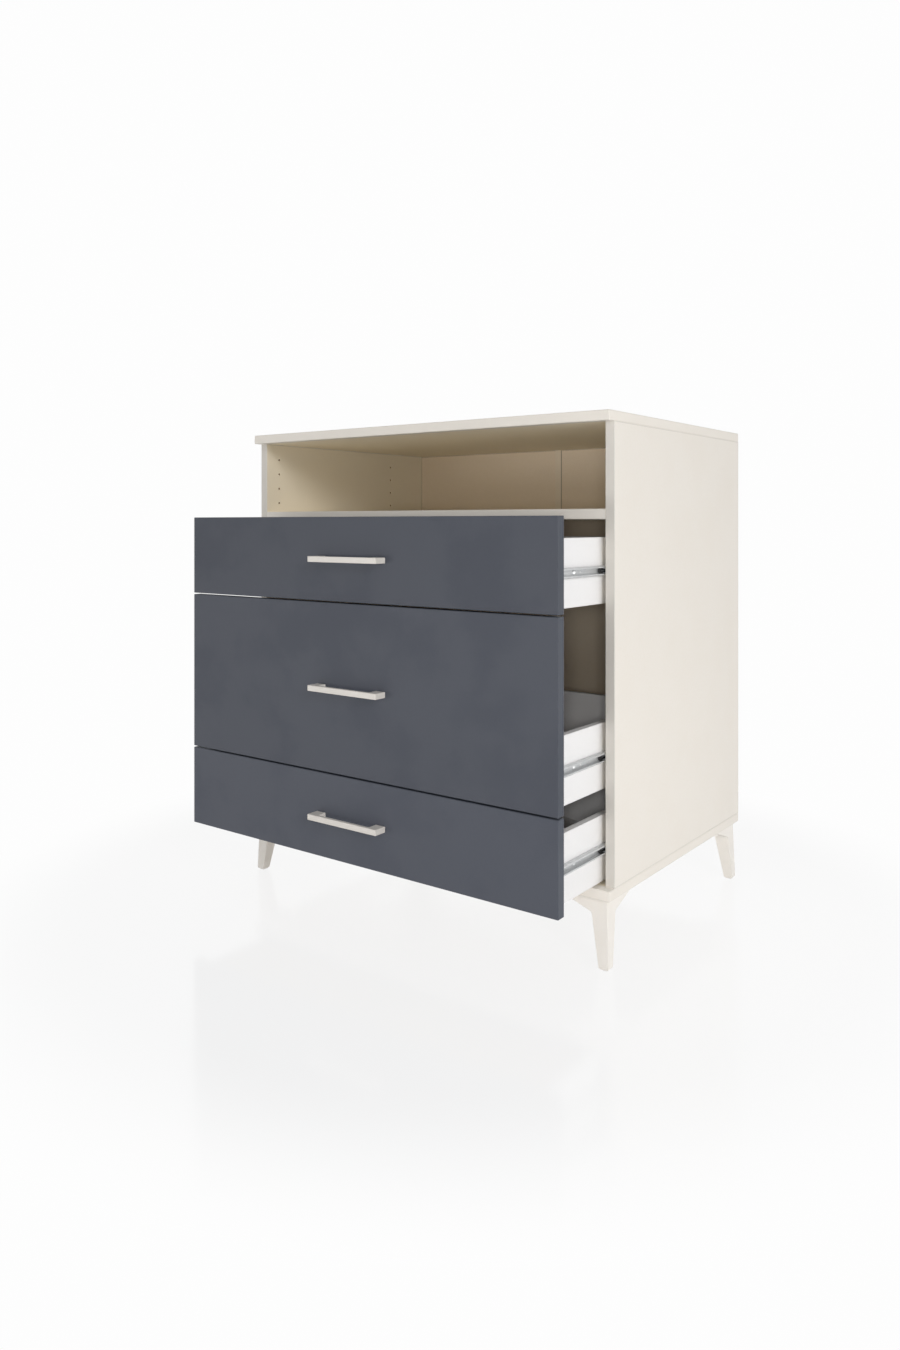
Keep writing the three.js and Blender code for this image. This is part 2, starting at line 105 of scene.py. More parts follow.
def add(tree, kind, inputs=None, **settings):
    """A node with its settings; a socket among the inputs is linked, a value is set."""
    made = tree.nodes.new(kind)
    for key, value in settings.items():
        setattr(made, key, value)
    for key, value in (inputs or {}).items():
        if isinstance(value, bpy.types.NodeSocket):
            tree.links.new(value, made.inputs[key])
        else:
            made.inputs[key].default_value = value
    return made


def calc(tree, operation, a, b=0.0, clamp=False):
    """One step of arithmetic on values."""
    return add(tree, "ShaderNodeMath", {0: a, 1: b},
               operation=operation, use_clamp=clamp).outputs[0]


def calc_all(tree, operation, first, *others):
    """The same step over several values, such as the highest of them."""
    for other in others:
        first = calc(tree, operation, first, other)
    return first


def plus(tree, value, extra, share, clamp=False):
    """A value with a share of another on top."""
    return calc(tree, "ADD", value, calc(tree, "MULTIPLY", extra, share), clamp)


def blended(tree, a, b, shares):
    """Two values added up, each with its share."""
    return plus(tree, calc(tree, "MULTIPLY", a, shares[0]), b, shares[1])


def near(tree, value, middle, reach):
    """1 where a value is less than reach away from middle."""
    off = calc(tree, "ABSOLUTE", calc(tree, "SUBTRACT", value, middle))
    return calc(tree, "LESS_THAN", off, reach)


def step(tree, value, low, high, out_low=0.0, out_high=1.0):
    """A soft threshold: out_low up to low, out_high from high on."""
    made = add(tree, "ShaderNodeMapRange",
               {"Value": value, "From Min": low, "From Max": high,
                "To Min": out_low, "To Max": out_high}, interpolation_type="SMOOTHSTEP")
    return made.outputs["Result"]


def tint(tree, factor, a, b):
    """Colour a turning into colour b."""
    return add(tree, "ShaderNodeMix", {0: factor, 6: a, 7: b}, data_type="RGBA").outputs[2]


def toned(colour, gain, lift=0.0):
    """A colour made lighter or darker."""
    return tuple(min(1.0, gain * part + lift) for part in colour[:3]) + (1,)


def noise(tree, vector, scale, detail=3.0, rough=0.55):
    """A value from 0 to 1 that wanders over the surface; scale is in cycles per metre."""
    return add(tree, "ShaderNodeTexNoise", {"Vector": vector, "Scale": scale, "Detail": detail,
                                            "Roughness": rough}).outputs["Fac"]


def axes(tree, vector):
    """The three parts of a place."""
    return add(tree, "ShaderNodeSeparateXYZ", {0: vector}).outputs


def vector_calc(tree, operation, a, b):
    """One step of arithmetic on each axis of two places."""
    return add(tree, "ShaderNodeVectorMath", {0: a, 1: b}, operation=operation).outputs[0]


def group(name, inputs, outputs):
    """An empty shader group with named sockets, each given as (name, kind, default)."""
    tree = bpy.data.node_groups.new(name, "ShaderNodeTree")
    for label, kind, default in inputs:
        made = tree.interface.new_socket(label, in_out="INPUT", socket_type="NodeSocket" + kind)
        made.default_value = default
    for label, kind in outputs:
        tree.interface.new_socket(label, in_out="OUTPUT", socket_type="NodeSocket" + kind)
    return tree, tree.nodes.new("NodeGroupInput").outputs, tree.nodes.new("NodeGroupOutput").inputs


def link_all(tree, sockets, inputs):
    """Links each named socket to the input of that name."""
    for label, socket in sockets.items():
        tree.links.new(socket, inputs[label])


def placed(tree, shared, inputs):
    """A shared group put into a material with its own values."""
    return add(tree, "ShaderNodeGroup", inputs, node_tree=shared).outputs


def own_place(tree):
    """The point on the piece, in metres."""
    return tree.nodes.new("ShaderNodeTexCoord").outputs["Object"]


def start_material(name):
    """A new material, its tree and its Principled shader."""
    made = bpy.data.materials.new(name)
    made.use_nodes = True
    tree = made.node_tree
    shader = next(n for n in tree.nodes if n.type == "BSDF_PRINCIPLED")
    return made, tree, shader


def relief(tree, shader, height, depth):
    """Bumps the shader's normal by a height that runs from 0 to 1, depth in metres."""
    made = add(tree, "ShaderNodeBump", {"Height": height, "Strength": 1.0, "Distance": depth})
    tree.links.new(made.outputs["Normal"], shader.inputs["Normal"])


# Where a point lies on a sawn board: deep in a hole or groove, on the seam of the edge
# banding, on an arris, or on the banding. Low and High are the board's corners.
board_faces, given, out = group(
    "board faces",
    [("Place", "Vector", (0, 0, 0)), ("Low", "Vector", (0, 0, 0)), ("High", "Vector", (1, 1, 1)),
     ("Skin", "Float", SKIN), ("Band", "Float", BAND)],
    [("Core", "Float"), ("Seam", "Float"), ("Arris", "Float"), ("Edge", "Float")])
from_low = vector_calc(board_faces, "SUBTRACT", given["Place"], given["Low"])
from_high = vector_calc(board_faces, "SUBTRACT", given["High"], given["Place"])
x, y, z = axes(board_faces, vector_calc(board_faces, "MINIMUM", from_low, from_high))
least = calc_all(board_faces, "MINIMUM", x, y, z)
most = calc_all(board_faces, "MAXIMUM", x, y, z)
second = calc_all(board_faces, "SUBTRACT", calc_all(board_faces, "ADD", x, y, z), least, most)
seam_line = calc(board_faces, "MULTIPLY", given["Band"], SEAM_PLACE)
off_seam = calc(board_faces, "ABSOLUTE", calc(board_faces, "SUBTRACT", second, seam_line))
link_all(board_faces, {
    "Core": calc(board_faces, "GREATER_THAN", least, given["Skin"]),
    "Seam": step(board_faces, off_seam, *SEAM_FADE, 1.0, 0.0),
    "Arris": step(board_faces, second, *ARRIS_FADE, 1.0, 0.0),
    "Edge": calc(board_faces, "LESS_THAN", second, seam_line)}, out)

# Broken particleboard, as a drill or a saw leaves it.
chipboard, given, out = group(
    "chipboard",
    [("Place", "Vector", (0, 0, 0)), ("Pale", "Color", CHIP_PALE), ("Dark", "Color", CHIP_DARK)],
    [("Colour", "Color"), ("Height", "Float")])
chips = add(chipboard, "ShaderNodeTexVoronoi",
            {"Vector": given["Place"], "Scale": CHIPS, "Randomness": 1.0}).outputs
crumbs = noise(chipboard, given["Place"], CRUMBS)
chip_tone = calc(chipboard, "MULTIPLY", chips["Color"], crumbs)
link_all(chipboard, {
    "Colour": tint(chipboard, chip_tone, given["Pale"], given["Dark"]),
    "Height": calc(chipboard, "ADD", chips["Distance"], crumbs)}, out)

# Pressed melamine: a fine pearl all over, and a film of handling that is barely there.
melamine, given, out = group(
    "melamine",
    [("Place", "Vector", (0, 0, 0)), ("Pearl", "Float", PEARL), ("Film", "Float", FILM)],
    [("Tone", "Float"), ("Smudge", "Float"), ("Height", "Float")])
pearl = noise(melamine, given["Place"], given["Pearl"], *PEARL_WAVES)
speckle = noise(melamine, given["Place"],
                calc(melamine, "MULTIPLY", given["Pearl"], SPECKLE_SHARE), *SPECKLE_WAVES)
film = noise(melamine, given["Place"], given["Film"], *FILM_WAVES)
link_all(melamine, {
    "Tone": step(melamine, blended(melamine, speckle, film, MELAMINE_TONE), *TONE_SPAN),
    "Smudge": step(melamine, film, *SMUDGE_SPAN),
    "Height": blended(melamine, pearl, speckle, MELAMINE_HEIGHT)}, out)


def indoors(tree, board, place):
    """1 on the face of a board that looks into the chest."""
    low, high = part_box(board)
    axis, side = INSIDE_FACES[board]
    test, limit = {"low": ("LESS_THAN", low[axis] + SKIN),
                   "high": ("GREATER_THAN", high[axis] - SKIN),
                   "behind the front": ("GREATER_THAN", low[axis] + SHELF_FRONT)}[side]
    inner = calc(tree, test, axes(tree, place)[axis], limit)
    if axis == 2:
        behind = calc(tree, "GREATER_THAN", axes(tree, place)[1], low.y + LEDGE)
        inner = calc(tree, "MULTIPLY", inner, behind)
    return inner


def board_finish(name, board, tones, gloss, inside_light=None):
    """Melamine on a board's faces, banding with its seams on the edges, and chips in its cuts.

    tones are the face, its shade and the banding; the last argument is a lighter, warmer cream
    painted on the faces towards the inside, as painted light.
    """
    face, shade, band = tones
    low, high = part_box(board)
    made, tree, shader = start_material(name)
    place = own_place(tree)
    faces = placed(tree, board_faces, {"Place": place, "Low": low, "High": high})
    skin = placed(tree, melamine, {"Place": place})
    raw = placed(tree, chipboard, {"Place": place})
    colour = tint(tree, skin["Tone"], face, shade)
    if inside_light:
        colour = tint(tree, indoors(tree, board, place), colour, inside_light)
    thin = min(range(3), key=lambda axis: high[axis] - low[axis])
    rim = near(tree, axes(tree, place)[thin], (low[thin] + high[thin]) / 2,
               (high[thin] - low[thin]) / 2 - SKIN)
    banded = calc(tree, "MAXIMUM", rim, calc(tree, "MULTIPLY", faces["Edge"], EDGE_SHARE))
    colour = tint(tree, banded, colour, band)
    glue = calc(tree, "MULTIPLY", faces["Seam"], SEAM_SHARE)
    colour = tint(tree, glue, colour, toned(face, SEAM_TONE))
    # Arrises are painted lighter: partly wear, partly a painted highlight where the edges catch
    # the light.
    worn_and_highlit = calc(tree, "MULTIPLY", faces["Arris"], step(tree, skin["Tone"], *WEAR_HIGHLIGHT_SPAN, *WEAR_HIGHLIGHT))
    colour = tint(tree, worn_and_highlit, colour, toned(face, WORN_HIGHLIGHT_GAIN, WORN_HIGHLIGHT_LIFT))
    colour = tint(tree, faces["Core"], colour, raw["Colour"])
    rough = step(tree, skin["Smudge"], 0.0, 1.0, *gloss)
    shader.inputs["IOR"].default_value = MELAMINE_IOR
    link_all(tree, {"Base Color": colour,
                    "Roughness": plus(tree, rough, faces["Core"], CHIP_ROUGH, clamp=True)},
             shader.inputs)
    cut = calc(tree, "MULTIPLY", raw["Height"], faces["Core"])
    height = plus(tree, skin["Height"], cut, CHIP_DEPTH)
    relief(tree, shader, plus(tree, height, faces["Seam"], -SEAM_DEPTH), MELAMINE_RELIEF)
    return made


def finish_node(node, material):
    """A CAD solid keeps its mesh and gets a better material."""
    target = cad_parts[node]
    while len(target.data.materials) > 1:
        target.data.materials.pop()
    if not target.data.materials:
        target.data.materials.append(material)
    target.material_slots[0].material = material


for board in ("top_panel", "bottom_panel", "left_side_panel", "right_side_panel", "fixed_shelf"):
    # Inside faces take the painted light of the chest's interior, and the top's underside a
    # stronger one.
    indoor_painted_light = CEILING_PAINTED_LIGHT if board == "top_panel" else CREAM_INSIDE_PAINTED_LIGHT
    # The side panels' edges take a darker band of painted shade.
    banding = UPRIGHT_BAND_PAINTED_SHADE if board.endswith("side_panel") else CREAM_BAND
    finish_node(board, board_finish("cream_" + board, board, (CREAM, CREAM_SHADE, banding), SATIN,
                                    indoor_painted_light))


# Back panels: two sheets of 3 mm fibreboard that slide into grooves of the carcass.
# Lacquered cream towards the inside, raw brown fibres towards the wall and on the edges.
# A fine dark line of painted shade runs beside the joint strip and along the grooves that hold
# them, where the panels meet the carcass in a corner.
LACQUER = (0.835, 0.705, 0.545, 1)
LACQUER_SHADE = (0.82, 0.69, 0.525, 1)
LACQUER_DEPTH = 0.00035
LACQUER_GLOSS = (0.5, 0.86)     # roughness, from the lacquer to the bare fibres
LACQUER_FILM = 5.0
JOINT_LINE = 0.0009
GROOVE_LINE = 0.0013
JOINT_PAINTED_SHADE = (0.30, 0.25, 0.19, 1)
JOINT_SHARE = 0.6               # how strong the line shows
FIBRE = (0.36, 0.235, 0.13, 1)
FIBRE_DARK = (0.22, 0.135, 0.07, 1)
FIBRES, CLOUDS = 620.0, 7.0
FIBRE_LIE, FIBRE_TURN = (1, 1, 0.35), (0, 0.4, 0)
FIBRE_WAVES, CLOUD_WAVES = (6.0, 0.7), (5.0, 0.6)
FIBRE_TONE, FIBRE_SPAN = (0.82, 0.18), (0.34, 0.66)
FIBRE_DEPTH = 5.0               # in reliefs of the melamine
SCREEN_WIRES = 1570.0           # the press screen's print, in radians per metre
SCREEN_DEPTH = 0.6
SHEET_PEARL = 640.0


def stretched(tree, vector, amounts, turn=(0, 0, 0)):
    """The same place measured with another scale on each axis."""
    return add(tree, "ShaderNodeMapping",
               {"Vector": vector, "Scale": amounts, "Rotation": turn}).outputs[0]


# Hardboard from its rough side: matted fibres and the print of the press screen.
hardboard, given, out = group(
    "hardboard",
    [("Place", "Vector", (0, 0, 0)), ("Fibre", "Color", FIBRE), ("Dark", "Color", FIBRE_DARK)],
    [("Colour", "Color"), ("Height", "Float")])
matted = noise(hardboard, stretched(hardboard, given["Place"], FIBRE_LIE, FIBRE_TURN),
               FIBRES, *FIBRE_WAVES)
clouds = noise(hardboard, given["Place"], CLOUDS, *CLOUD_WAVES)
x, y, z = axes(hardboard, given["Place"])
wires = [calc(hardboard, "ABSOLUTE", calc(hardboard, "SINE", calc(
    hardboard, "MULTIPLY", axis, SCREEN_WIRES))) for axis in (x, z)]
fibre_tone = step(hardboard, blended(hardboard, matted, clouds, FIBRE_TONE), *FIBRE_SPAN)
link_all(hardboard, {
    "Colour": tint(hardboard, fibre_tone, given["Dark"], given["Fibre"]),
    "Height": plus(hardboard, matted, calc(hardboard, "MULTIPLY", *wires), SCREEN_DEPTH)}, out)


def sheet_skin(tree, place, film, tones):
    """The pressed side of a sheet of hardboard, and its colour."""
    skin = placed(tree, melamine, {"Place": place, "Pearl": SHEET_PEARL, "Film": film})
    return skin, tint(tree, skin["Tone"], *tones)


def dress_sheet(tree, shader, skin, face, bare, fibre_place, gloss):
    """Puts face on a sheet of hardboard, and raw fibres where bare is 1."""
    raw = placed(tree, hardboard, {"Place": fibre_place})
    link_all(tree, {"Base Color": tint(tree, bare, face, raw["Colour"]),
                    "Roughness": step(tree, bare, 0.0, 1.0, *gloss)}, shader.inputs)
    fibres = calc(tree, "MULTIPLY", raw["Height"], bare)
    relief(tree, shader, plus(tree, skin["Height"], fibres, FIBRE_DEPTH), MELAMINE_RELIEF)


def back_finish(name, node):
    """Lacquer on the front of a back panel, with painted shade along its joints and corners, and
    bare fibres behind.
    """
    made, tree, shader = start_material(name)
    place = own_place(tree)
    x, y, z = axes(tree, place)
    skin, face = sheet_skin(tree, place, LACQUER_FILM, (LACQUER, LACQUER_SHADE))
    strip_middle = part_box("back_joint_strip")[1].x / 2
    # Painted shade: a dark line beside the joint strip and in the corners with the sides, the top
    # and the shelf.
    shade_lines = calc_all(
        tree, "MAXIMUM",
        near(tree, x, strip_middle, strip_middle + JOINT_LINE),
        calc(tree, "GREATER_THAN", calc(tree, "ABSOLUTE", x),
             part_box("right_side_panel")[0].x - GROOVE_LINE),
        calc(tree, "GREATER_THAN", z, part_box("top_panel")[0].z - GROOVE_LINE),
        near(tree, z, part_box("fixed_shelf")[1].z, GROOVE_LINE))
    face = tint(tree, calc(tree, "MULTIPLY", shade_lines, JOINT_SHARE), face, JOINT_PAINTED_SHADE)
    bare = calc(tree, "GREATER_THAN", y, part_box(node)[0].y + LACQUER_DEPTH)
    dress_sheet(tree, shader, skin, face, bare, place, LACQUER_GLOSS)
    return made


for board in ("back_panel_left", "back_panel_right"):
    finish_node(board, back_finish("lacquered_" + board, board))


# Joint strip: an extruded plastic profile of H section that clips the two back panels
# together edge to edge. Plastic in the panels' cream, with the faint draw lines of the die
# and painted shade along its right edge.
STRIP = (0.835, 0.73, 0.58, 1)
STRIP_LINE = (0.82, 0.71, 0.555, 1)
STRIP_EDGE_PAINTED_SHADE = (0.36, 0.31, 0.24, 1)
STRIP_PAINTED_SHADE_WIDTH = 0.0006
STRIP_DRAW = (1, 1, 0.02)
STRIP_GLOSS = (0.44, 0.5)
STRIP_RELIEF = 0.00002
MOULD_GRAIN, MOULD_FLOW = 1500.0, 30.0
GRAIN_WAVES, FLOW_WAVES = (2.0, 0.6), (3.0, 0.5)
MOULD_HEIGHT = (0.8, 0.2)
NOISE_SPAN = (0.35, 0.65)

# Moulded or extruded plastic: a fine sparkle, stretched along the way that it was drawn.
plastic_grain, given, out = group(
    "plastic grain", [("Place", "Vector", (0, 0, 0)), ("Grain", "Float", MOULD_GRAIN),
                      ("Flow", "Float", MOULD_FLOW)],
    [("Sparkle", "Float"), ("Flow", "Float"), ("Height", "Float")])
sparkle = noise(plastic_grain, given["Place"], given["Grain"], *GRAIN_WAVES)
flow = noise(plastic_grain, given["Place"], given["Flow"], *FLOW_WAVES)
link_all(plastic_grain, {
    "Sparkle": step(plastic_grain, sparkle, *NOISE_SPAN),
    "Flow": step(plastic_grain, flow, *NOISE_SPAN),
    "Height": blended(plastic_grain, sparkle, flow, MOULD_HEIGHT)}, out)


def plastic_finish(name, tones, gloss, bump, drawn=(1, 1, 1), grain=MOULD_GRAIN, shade_from=None):
    """Plastic with a moulded grain, stretched by drawn; past the x given last it takes the strip's
    painted shade.
    """
    made, tree, shader = start_material(name)
    grained = placed(tree, plastic_grain, {
        "Place": stretched(tree, own_place(tree), drawn), "Grain": grain})
    colour = tint(tree, grained["Flow"], *tones)
    # Painted shade beyond that x, along the strip's right edge.
    if shade_from is not None:
        beyond = calc(tree, "GREATER_THAN", axes(tree, own_place(tree))[0], shade_from)
        colour = tint(tree, beyond, colour, STRIP_EDGE_PAINTED_SHADE)
    link_all(tree, {"Base Color": colour,
                    "Roughness": step(tree, grained["Sparkle"], 0.0, 1.0, *gloss)}, shader.inputs)
    relief(tree, shader, grained["Height"], bump)
    return made


finish_node("back_joint_strip", plastic_finish(
    "strip_plastic", (STRIP, STRIP_LINE), STRIP_GLOSS, STRIP_RELIEF, STRIP_DRAW,
    shade_from=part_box("back_joint_strip")[1].x - STRIP_PAINTED_SHADE_WIDTH))


# Corner feet: hollow tapered feet moulded in cream plastic, with a flange along each edge
# of the bottom slab. The same plastic carries a screw seat at each hole of a flange.
FOOT = (0.895, 0.857, 0.800, 1)
FOOT_SHADE = (0.884, 0.844, 0.783, 1)
FOOT_GLOSS = (0.36, 0.46)
FOOT_RELIEF = 0.00004
FOOT_GRAIN = 1100.0
SEAT_PLACES = ((0.074, 0.015), (0.015, 0.074))   # across and along from the foot's corner
SEAT_RADIUS = 0.0066
SEAT_BORE = 0.0047
SEAT_HOLE = 0.0028
SEAT_ROOT = 0.004               # its upper end, below the slab
SEAT_LIP = 0.0155               # its lower end
SEAT_RECESS = 0.0026
SEAT_EASE, BORE_EASE, SEAT_DRAFT = 0.0004, 0.0003, 0.0003
SHARP_ANGLE = 35                # degrees
DOUBLES = 1e-7
FEET = {"front_foot_left": (-1, 1), "front_foot_right": (1, 1),
        "back_foot_left": (-1, -1), "back_foot_right": (1, -1)}

foot_plastic = plastic_finish("foot_plastic", (FOOT, FOOT_SHADE), FOOT_GLOSS, FOOT_RELIEF,
                              grain=FOOT_GRAIN)


def mesh_piece(name, mesh, material, body):
    """A finished mesh becomes a piece that rides on a CAD body."""
    piece = bpy.data.objects.new(name, mesh)
    bpy.context.scene.collection.objects.link(piece)
    if material is not None:
        mesh.materials.clear()
        mesh.materials.append(material)
    mesh.shade_smooth()
    mesh.set_sharp_from_angle(angle=math.radians(SHARP_ANGLE))
    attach(piece, body)
    return piece


def turned(bm, profile, matrix, sides=24):
    """A closed ring or knob turned from a profile of (radius, height) about its own Z."""
    rings = []
    for radius, height in profile:
        if radius == 0:
            rings.append([bm.verts.new(matrix @ Vector((0, 0, height)))])
            continue
        rings.append([
            bm.verts.new(matrix @ Vector((radius * math.cos(a), radius * math.sin(a), height)))
            for a in (2 * math.pi * n / sides for n in range(sides))])
    for lower, upper in zip(rings, rings[1:]):
        for n in range(sides):
            m = (n + 1) % sides
            corners = [lower[n % len(lower)], lower[m % len(lower)],
                       upper[m % len(upper)], upper[n % len(upper)]]
            unique = list(dict.fromkeys(corners))
            if len(unique) > 2:
                bm.faces.new(unique)


def finished(bm, name):
    """The bmesh as a mesh with merged doubles and outward faces."""
    bmesh.ops.remove_doubles(bm, verts=bm.verts, dist=DOUBLES)
    bmesh.ops.recalc_face_normals(bm, faces=bm.faces)
    mesh = bpy.data.meshes.new(name)
    bm.to_mesh(mesh)
    bm.free()
    return mesh


seat_profile = [(SEAT_BORE, -SEAT_LIP + SEAT_RECESS), (SEAT_BORE, -SEAT_LIP + BORE_EASE),
                (SEAT_BORE + BORE_EASE, -SEAT_LIP), (SEAT_RADIUS - SEAT_EASE, -SEAT_LIP),
                (SEAT_RADIUS, -SEAT_LIP + SEAT_EASE), (SEAT_RADIUS + SEAT_DRAFT, -SEAT_ROOT),
                (SEAT_HOLE, -SEAT_ROOT), (SEAT_HOLE, -SEAT_LIP + SEAT_RECESS),
                (SEAT_BORE, -SEAT_LIP + SEAT_RECESS)]
slab_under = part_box("bottom_panel")[0].z
seats = bmesh.new()
foot_screws = []
for foot, (hand, inwards) in FEET.items():
    finish_node(foot, foot_plastic)
    low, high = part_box(foot)
    corner_x = high.x if hand > 0 else low.x
    corner_y = low.y if inwards > 0 else high.y
    for across, along in SEAT_PLACES:
        spot = Vector((corner_x - hand * across, corner_y + inwards * along, slab_under))
        turned(seats, seat_profile, Matrix.Translation(spot))
        foot_screws.append((spot + Vector((0, 0, -SEAT_LIP + SEAT_RECESS)), (0, 0, -1)))
mesh_piece("foot_screw_seats", finished(seats, "foot_screw_seats"), foot_plastic, "carcass")


# Screws of the feet: zinc-plated pan-head chipboard screws, driven up through the flanges
# into the bottom slab. Each head is a dome with a cross recess.
BRIGHT_ZINC = (0.93, 0.94, 0.94, 1)
BRIGHT_ZINC_SHADE = (0.86, 0.87, 0.87, 1)
BRIGHT_GLOSS = (0.26, 0.36)
ZINC_RELIEF = 0.00001
ZINC_STREAKS, ZINC_BLOOM = 900.0, 60.0
STREAK_WAVES, BLOOM_WAVES = (3.0, 0.6), (5.0, 0.65)
ZINC_TONE = (0.6, 0.4)
ROLLED = (1, 0.012, 1)          # streaks run along the rails
FOOT_SCREW = {"Radius": 0.0042, "Height": 0.0021, "Recess": 0.0046}
HEAD_SEGMENTS, HEAD_RINGS = 20, 10
HEAD_DOUBLES = 1e-6
DOME_CURVE = 2.6                # the power of the dome's curve
CROSS_SLIM, CROSS_DEEP = 0.24, 1.1   # an arm's width and depth, as shares of Recess and Height


def shape_tree(name, sizes):
    """An empty geometry tree with an input for each size and one for the material."""
    tree = bpy.data.node_groups.new(name, "GeometryNodeTree")
    for label, kind in (("Geometry", "Geometry"), *((size, "Float") for size in sizes),
                        ("Material", "Material")):
        tree.interface.new_socket(label, in_out="INPUT", socket_type="NodeSocket" + kind)
    tree.interface.new_socket("Geometry", in_out="OUTPUT", socket_type="NodeSocketGeometry")
    return tree, tree.nodes.new("NodeGroupInput").outputs


def set_on_points(tree, given, inputs):
    """Puts a real copy of the shape on every point, in the given material, as the output."""
    copies = add(tree, "GeometryNodeInstanceOnPoints", {"Points": given["Geometry"], **inputs})
    real = add(tree, "GeometryNodeRealizeInstances", {0: copies.outputs[0]})
    dressed = add(tree, "GeometryNodeSetMaterial",
                  {"Geometry": real.outputs[0], "Material": given["Material"]})
    tree.links.new(dressed.outputs[0], tree.nodes.new("NodeGroupOutput").inputs[0])


def screw_tree():
    """A domed head with a cross recess on every point, facing along the point's attribute."""
    tree, given = shape_tree("screw heads", ("Radius", "Height", "Recess"))
    ball = add(tree, "GeometryNodeMeshUVSphere",
               {"Segments": HEAD_SEGMENTS, "Rings": HEAD_RINGS, "Radius": given["Radius"]})
    px, py, pz = axes(tree, tree.nodes.new("GeometryNodeInputPosition").outputs[0])
    up = calc(tree, "MAXIMUM", calc(tree, "DIVIDE", pz, given["Radius"]), 0.0)
    hollow = calc(tree, "POWER", calc(tree, "SUBTRACT", 1.0, up), DOME_CURVE)
    rise = calc(tree, "MULTIPLY", calc(tree, "SUBTRACT", 1.0, hollow), given["Height"])
    dome = add(tree, "ShaderNodeCombineXYZ", {0: px, 1: py, 2: rise})
    head = add(tree, "GeometryNodeSetPosition",
               {"Geometry": ball.outputs["Mesh"], "Position": dome.outputs[0]})
    head = add(tree, "GeometryNodeMergeByDistance",
               {"Geometry": head.outputs[0], "Distance": HEAD_DOUBLES})
    slim = calc(tree, "MULTIPLY", given["Recess"], CROSS_SLIM)
    deep = calc(tree, "MULTIPLY", given["Height"], CROSS_DEEP)
    cross = add(tree, "GeometryNodeMeshBoolean", operation="UNION", solver="EXACT")
    arms = []
    for sizes in ((given["Recess"], slim, deep), (slim, given["Recess"], deep)):
        size = add(tree, "ShaderNodeCombineXYZ", dict(enumerate(sizes)))
        arm = add(tree, "GeometryNodeMeshCube", {"Size": size.outputs[0]})
        lift = add(tree, "ShaderNodeCombineXYZ", {2: given["Height"]})
        arms.append(add(tree, "GeometryNodeTransform", {
            "Geometry": arm.outputs["Mesh"], "Translation": lift.outputs[0]}).outputs[0])
    for arm in arms:
        tree.links.new(arm, cross.inputs["Mesh 2"])
    bored = add(tree, "GeometryNodeMeshBoolean", {"Mesh 1": head.outputs[0]},
                operation="DIFFERENCE", solver="EXACT")
    tree.links.new(cross.outputs[0], bored.inputs["Mesh 2"])
    facing = add(tree, "GeometryNodeInputNamedAttribute", {"Name": "facing"},
                 data_type="FLOAT_VECTOR")
    turn = add(tree, "FunctionNodeAlignRotationToVector",
               {"Vector": facing.outputs["Attribute"]}, axis="Z")
    set_on_points(tree, given, {"Instance": bored.outputs[0], "Rotation": turn.outputs[0]})
    return tree


def grown(name, points, tree, inputs, body):
    """Runs a geometry tree on points, each a place and a facing, and keeps the plain mesh."""
    seed = bpy.data.meshes.new(name + "_points")
    seed.from_pydata([tuple(place) for place, way in points], [], [])
    facing = seed.attributes.new("facing", "FLOAT_VECTOR", "POINT")
    for n, (place, way) in enumerate(points):
        facing.data[n].vector = way
    holder = bpy.data.objects.new(name + "_seed", seed)
    bpy.context.scene.collection.objects.link(holder)
    modifier = holder.modifiers.new("nodes", "NODES")
    modifier.node_group = tree
    for item in tree.interface.items_tree:
        if item.in_out == "INPUT" and item.name in inputs:
            modifier[item.identifier] = inputs[item.name]
    depsgraph = bpy.context.evaluated_depsgraph_get()
    mesh = bpy.data.meshes.new_from_object(holder.evaluated_get(depsgraph))
    bpy.data.objects.remove(holder)
    mesh.name = name
    return mesh_piece(name, mesh, None, body)


# Rolled and plated steel: long streaks along the rail, and the bloom of the zinc bath.
rolled_zinc, given, out = group(
    "rolled zinc", [("Place", "Vector", (0, 0, 0)), ("Streak", "Float", ZINC_STREAKS)],
    [("Tone", "Float"), ("Bloom", "Float"), ("Height", "Float")])
streak = noise(rolled_zinc, stretched(rolled_zinc, given["Place"], ROLLED), given["Streak"],
               *STREAK_WAVES)
bloom = noise(rolled_zinc, given["Place"], ZINC_BLOOM, *BLOOM_WAVES)
link_all(rolled_zinc, {
    "Tone": step(rolled_zinc, blended(rolled_zinc, streak, bloom, ZINC_TONE), *NOISE_SPAN),
    "Bloom": step(rolled_zinc, bloom, *NOISE_SPAN),
    "Height": streak}, out)


def zinc_finish(name, tones, gloss, bump=ZINC_RELIEF, metal=1.0):
    """Steel with its rolled streaks and the bloom of its plating."""
    made, tree, shader = start_material(name)
    rolled = placed(tree, rolled_zinc, {"Place": own_place(tree)})
    shader.inputs["Metallic"].default_value = metal
    link_all(tree, {"Base Color": tint(tree, rolled["Tone"], *tones),
                    "Roughness": step(tree, rolled["Bloom"], 0.0, 1.0, *gloss)}, shader.inputs)
    relief(tree, shader, rolled["Height"], bump)
    return made


screw_zinc = zinc_finish("screw_zinc", (BRIGHT_ZINC, BRIGHT_ZINC_SHADE), BRIGHT_GLOSS)
screw_heads = screw_tree()


def driven(name, spots, head, body):
    """Screws of one kind, one at each spot, whose heads face the way that is given there."""
    grown(name, spots, screw_heads, {**head, "Material": screw_zinc}, body)


driven("foot_screws", foot_screws, FOOT_SCREW, "carcass")


# Slab screws: three countersunk connector screws up through the bottom slab into the lower
# end of each side panel. Their flush heads show only from below.
SLAB_SCREW = {"Radius": 0.0036, "Height": 0.0004, "Recess": 0.0040}
SLAB_SCREW_SHARES = (0.2, 0.5, 0.8)   # of the panel's depth

